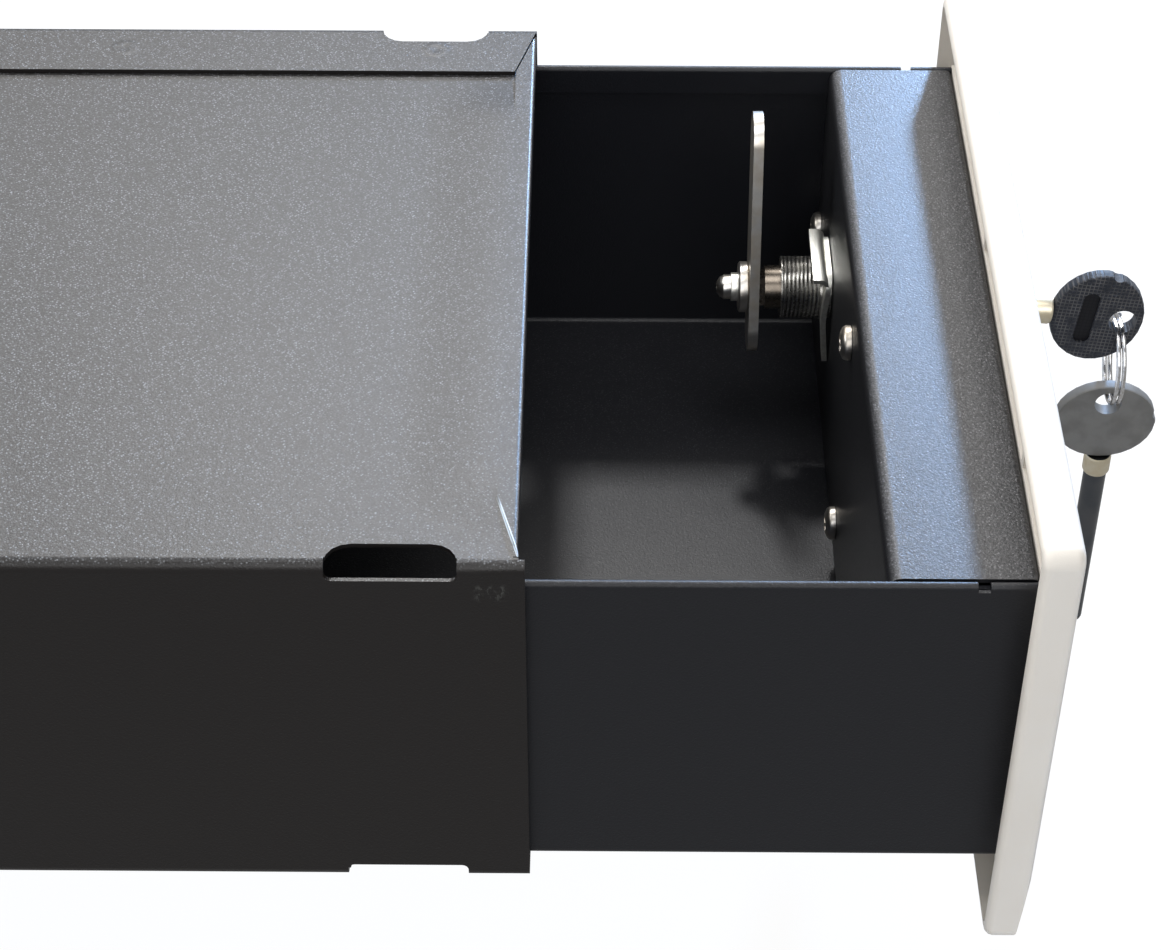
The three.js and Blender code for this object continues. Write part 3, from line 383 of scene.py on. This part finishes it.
# Front panel
# A cream moulding with a fine even grain, faintly yellowed in places, screwed on from inside.
cream = Paint("cream_moulding", (0.78, 0.755, 0.7), 0.5)
grain = cream.noise(2.5, 3.0)
cloud = cream.noise(0.03, 2.0)
cream.set("Base Color", cream.mix(cloud.between(0.3, 0.7), (0.765, 0.725, 0.665), (0.735, 0.69, 0.625)))
cream.set("Roughness", 0.44 + 0.12 * grain)
cream.set("Normal", cream.bump(grain, 0.06, 0.5))
cream.cover("front_panel")

# Plated pieces: strike, cam, washers, screws, spacers and rivets
# Bright zinc over stamped or turned steel, with fine draw lines and a faint tan passivation.
zinc = Paint("zinc_steel", (0.62, 0.61, 0.58), 0.3, 1.0)
mottle = zinc.noise(0.16, 3.0)
draw_line = zinc.noise(0.9, 3.0, (0.12, 1, 1))
zinc.set("Base Color", zinc.mix(mottle.between(0.25, 0.75), (0.66, 0.65, 0.63), (0.5, 0.45, 0.38)))
zinc.set("Roughness", 0.2 + 0.16 * mottle + 0.12 * draw_line)
zinc.set("Normal", zinc.bump(draw_line, 0.02, 0.4))
zinc.cover("lock_strike", "lock_cam", "cam_washer", "cam_screw",
           *(name for name in nodes if name.startswith(("panel_screw", "panel_spacer", "back_rivet"))))

# Lock body and core
# Nickel-plated cast zinc, faintly pitted. The barrel is threaded behind the wall, which the bump draws, with
# painted shade in the thread valleys, and the square post behind it is painted dark brown as painted shade.
THREAD_PITCH = 1.25
THREAD_FROM = 78.7
THREAD_TO = 92.6
THREAD_ROOT_RADIUS = 8.6
CORE_FROM = 78.1
LOCK_ASIDE = 67.0
LOCK_UP = -59.4
cast = Paint("cast_zinc", (0.66, 0.66, 0.63), 0.28, 1.0)
along, aside, up = cast.axes()
aside = aside - LOCK_ASIDE
up = up - LOCK_UP
angle = up.apply("ARCTAN2", up, aside)
radius = cast.distance(aside, up)
crest = abs((along / THREAD_PITCH + angle / (2 * math.pi)).fraction() - 0.5) * 2
behind_wall = along.between(THREAD_FROM - 0.3, THREAD_FROM) * (1 - along.between(THREAD_TO, THREAD_TO + 0.6))
threaded = behind_wall * radius.between(THREAD_ROOT_RADIUS, THREAD_ROOT_RADIUS + 0.4)
pits = cast.noise(0.8, 3.0)
# Painted shade: the square post behind the barrel is painted dark brown.
body_and_painted_shade = cast.mix(1 - along.between(CORE_FROM, CORE_FROM + 0.4), (0.6, 0.59, 0.56), (0.17, 0.145, 0.12))
# Painted shade: the thread valleys are painted dark.
cast.set("Base Color", cast.mix(threaded * (1 - crest).between(0.3, 0.9) * 0.85, body_and_painted_shade, (0.13, 0.12, 0.11)))
cast.set("Roughness", 0.2 + 0.16 * pits)
cast.set("Normal", cast.bump(crest * threaded, 0.35, 0.8, cast.bump(pits, 0.03, 0.4)))
cast.cover("lock_body", "lock_core")

# Lock clip and spring washer
# Stamped spring steel, zinc plated, with the press's fine grain along it.
spring = Paint("spring_steel", (0.8, 0.8, 0.76), 0.36, 1.0)
drag = spring.noise(0.7, 3.0, (1, 0.2, 1))
spring.set("Base Color", spring.mix(drag.between(0.35, 0.65), (0.86, 0.86, 0.81), (0.72, 0.71, 0.66)))
spring.set("Roughness", 0.34 + 0.16 * drag)
spring.set("Normal", spring.bump(drag, 0.03, 0.5))
spring.cover("lock_clip", "cam_spring_washer")

# Clip lip
# The clip's top edge is folded back over the barrel, to press it home with. Same sheet as the clip.
LIP_ASIDE = (53.2, 79.4)
LIP_TOP = -46.3
LIP_SHEET = 1.3
LIP_BEND = 1.2
LIP_END = 87.2
LIP_FACE = 91.9
LIP_LOW = -48.6
LIP_BEND_STEPS = 6
LIP_EDGE_RADIUS = 0.0003
lip_centre = (LIP_FACE - LIP_SHEET - LIP_BEND, LIP_TOP - LIP_SHEET - LIP_BEND)
outer = [(LIP_END, LIP_TOP)]
inner = [(LIP_END, LIP_TOP - LIP_SHEET)]
for step in range(LIP_BEND_STEPS + 1):
    angle_on = math.pi / 2 * (1 - step / LIP_BEND_STEPS)
    for line, bend in ((outer, LIP_BEND + LIP_SHEET), (inner, LIP_BEND)):
        line.append((lip_centre[0] + bend * math.cos(angle_on), lip_centre[1] + bend * math.sin(angle_on)))
outer.append((LIP_FACE, LIP_LOW))
inner.append((LIP_FACE - LIP_SHEET, LIP_LOW))
profile = outer + inner[::-1]
lip_net = bmesh.new()
ends = [[lip_net.verts.new(metres(x, aside_mm, z)) for x, z in profile] for aside_mm in LIP_ASIDE]
for index in range(len(profile)):
    after = (index + 1) % len(profile)
    lip_net.faces.new((ends[0][index], ends[0][after], ends[1][after], ends[1][index]))
lip_net.faces.new(ends[0])
lip_net.faces.new(ends[1][::-1])
clip_lip = draw_piece("clip_lip", lip_net, spring)
soften = clip_lip.modifiers.new("round_edges", "BEVEL")
soften.width = LIP_EDGE_RADIUS
soften.segments = 2
soften.limit_method = "ANGLE"
keep_edges(clip_lip, FEW_SIDES_ANGLE)
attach(clip_lip, "drawer")

# Split ring
# Two turns of bright chromed wire, rubbed where the keys hang.
chrome = Paint("chrome_wire", (0.8, 0.8, 0.81), 0.1, 1.0)
rub = chrome.noise(0.7, 3.0)
chrome.set("Base Color", chrome.mix(rub.between(0.4, 0.7), (0.82, 0.82, 0.84), (0.62, 0.6, 0.57)))
chrome.set("Roughness", 0.05 + 0.16 * rub)
chrome.cover("split_ring")

# Key shafts
# Turned steel, darkened, faintly uneven from handling.
shaft = Paint("shaft_steel", (0.2, 0.22, 0.25), 0.24, 1.0)
rub = shaft.noise(0.12, 2.0)
shaft.set("Base Color", shaft.mix(rub.between(0.3, 0.7), (0.11, 0.12, 0.135), (0.15, 0.155, 0.165)))
shaft.set("Roughness", 0.16 + 0.1 * rub)
shaft.set("Normal", shaft.bump(rub, 0.02, 0.3))
shaft.cover("key_shaft", "spare_key_shaft")

# Collars and lock pins
# Turned brass, pressed on to the shaft against the bow.
brass = Paint("collar_brass", (0.78, 0.66, 0.44), 0.24, 1.0)
rub = brass.noise(0.4, 3.0)
brass.set("Base Color", brass.mix(rub.between(0.2, 0.8), (0.92, 0.85, 0.68), (0.84, 0.74, 0.54)))
brass.set("Roughness", 0.3 + 0.12 * rub)
brass.cover("key_collar", "spare_key_collar", *(name for name in nodes if name.startswith("lock_pin")))

# Key bows
# Dark plastic moulded over the shaft's tongue. The first key's face has a fine square grid, and its grip
# recess is painted near black as painted shade. The spare key's back is plain and worn a little paler.
GRID_PITCH = 1.25
KEY_DROOP = math.radians(7)
KEY_PIVOT = (93.9, -59.4)
GRIP_ALONG = 80.6
GRIP_HALF_LENGTH = 9.3
GRIP_HALF_WIDTH = 2.5
BOW_FACE = 64.7
bow = Paint("bow_grid", (0.028, 0.029, 0.036), 0.45)
bow.set("Specular IOR Level", 0.3)
along, aside, up = bow.axes()
along = along - KEY_PIVOT[0]
up = up - KEY_PIVOT[1]
run = along * math.cos(KEY_DROOP) - up * math.sin(KEY_DROOP)
rise = along * math.sin(KEY_DROOP) + up * math.cos(KEY_DROOP)
lines = [abs((way / GRID_PITCH).fraction() - 0.5).between(0.3, 0.46) for way in (run, rise)]
grid = lines[0].apply("MAXIMUM", *lines)
wear = bow.noise(0.25, 3.0)
across_grip = 1 - abs(run - GRIP_ALONG).between(GRIP_HALF_WIDTH, GRIP_HALF_WIDTH + 0.1)
along_grip = 1 - abs(rise).between(GRIP_HALF_LENGTH, GRIP_HALF_LENGTH + 0.1)
in_grip = across_grip * along_grip * aside.between(BOW_FACE + 0.1, BOW_FACE + 0.3)
worn_grid = grid * wear.between(0.3, 0.62) * (1 - in_grip)
face = bow.mix(worn_grid, (0.017, 0.019, 0.025), (0.085, 0.08, 0.078))
# Painted shade: the grip recess is painted near black.
bow.set("Base Color", bow.mix(in_grip, face, (0.004, 0.004, 0.006)))
bow.set("Roughness", 0.5 + 0.14 * grid)
bow.set("Normal", bow.bump(grid * (1 - in_grip), 0.15, 0.6))
bow.cover("key_bow")

bare = Paint("bow_plastic", (0.1, 0.097, 0.092), 0.42)
bare.set("Specular IOR Level", 0.35)
grain = bare.noise(3.0, 2.0)
haze = bare.noise(0.15, 3.0)
bare.set("Base Color", bare.mix(haze.between(0.35, 0.65), (0.115, 0.109, 0.099), (0.145, 0.139, 0.128)))
bare.set("Roughness", 0.46 + 0.14 * grain)
bare.set("Normal", bare.bump(grain, 0.04, 0.4))
bare.cover("spare_key_bow")

# Glide strips
# Natural nylon, cut from sheet and stuck to the sleeve's floor. The drawer polishes their tops.
nylon = Paint("nylon", (0.75, 0.73, 0.68), 0.45)
nylon.set("Subsurface Weight", 0.1)
haze = nylon.noise(0.2, 2.0)
slide_mark = nylon.noise(0.9, 3.0, (0.03, 1, 1))
nylon.set("Base Color", nylon.mix(slide_mark.between(0.5, 0.7), (0.76, 0.74, 0.69), (0.6, 0.58, 0.53)))
nylon.set("Roughness", 0.36 + 0.15 * haze)
nylon.set("Normal", nylon.bump(slide_mark, 0.03, 0.4))
nylon.cover("glide_strip_near", "glide_strip_far")

# Floor
# A plain pale floor below the hanging key, which the camera sees as white.
FLOOR_HEIGHT = -0.216
FLOOR_HALF = 3.0
grid_mesh = bmesh.new()
bmesh.ops.create_grid(grid_mesh, x_segments=1, y_segments=1, size=FLOOR_HALF)
floor_data = bpy.data.meshes.new("floor")
grid_mesh.to_mesh(floor_data)
grid_mesh.free()
floor = bpy.data.objects.new("floor", floor_data)
floor.location.z = FLOOR_HEIGHT
scene.collection.objects.link(floor)
FLOOR_WHITE = 1.05
SHADOWLESS_SHARE = 0.9
REFLECTED_LEVEL = 0.35
pale = Paint("floor_white", (0.65, 0.65, 0.65), 0.7)
path = pale.node("LightPath", {}, {}).socket.node
camera_ray, glossy_ray, through_ray = (
    Number(pale, path.outputs[ray]) for ray in ("Is Camera Ray", "Is Glossy Ray", "Is Transmission Ray"))


def glow(share, under, strength):
    emission = pale.node("Emission", {}, {"Color": (1, 1, 1, 1), "Strength": strength})
    return pale.node("MixShader", {}, {0: share, 1: under, 2: emission})


lit = Number(pale, pale.shader.outputs[0])
seen = glow((camera_ray + through_ray) * SHADOWLESS_SHARE, lit, FLOOR_WHITE)
surface = glow(glossy_ray, seen, REFLECTED_LEVEL)
pale.put(pale.tree.nodes["Material Output"].inputs["Surface"], surface)
floor_data.materials.append(pale.material)

# Surroundings
# White to the camera, paler in reflections, and a dim even grey to everything else.
WORLD_LEVEL = 0.22
world = bpy.data.worlds.new("world")
world.use_nodes = True
scene.world = world
tree = world.node_tree
path = tree.nodes.new("ShaderNodeLightPath")
level = WORLD_LEVEL
for ray, share in (("Is Glossy Ray", REFLECTED_LEVEL), ("Is Transmission Ray", 1.0), ("Is Camera Ray", 1.0)):
    choose = tree.nodes.new("ShaderNodeMix")
    tree.links.new(path.outputs[ray], choose.inputs["Factor"])
    choose.inputs["B"].default_value = share
    if ray == "Is Glossy Ray":
        choose.inputs["A"].default_value = level
    else:
        tree.links.new(level, choose.inputs["A"])
    level = choose.outputs["Result"]
tree.links.new(level, tree.nodes["Background"].inputs["Strength"])
tree.nodes["Background"].inputs["Color"].default_value = (1, 1, 1, 1)
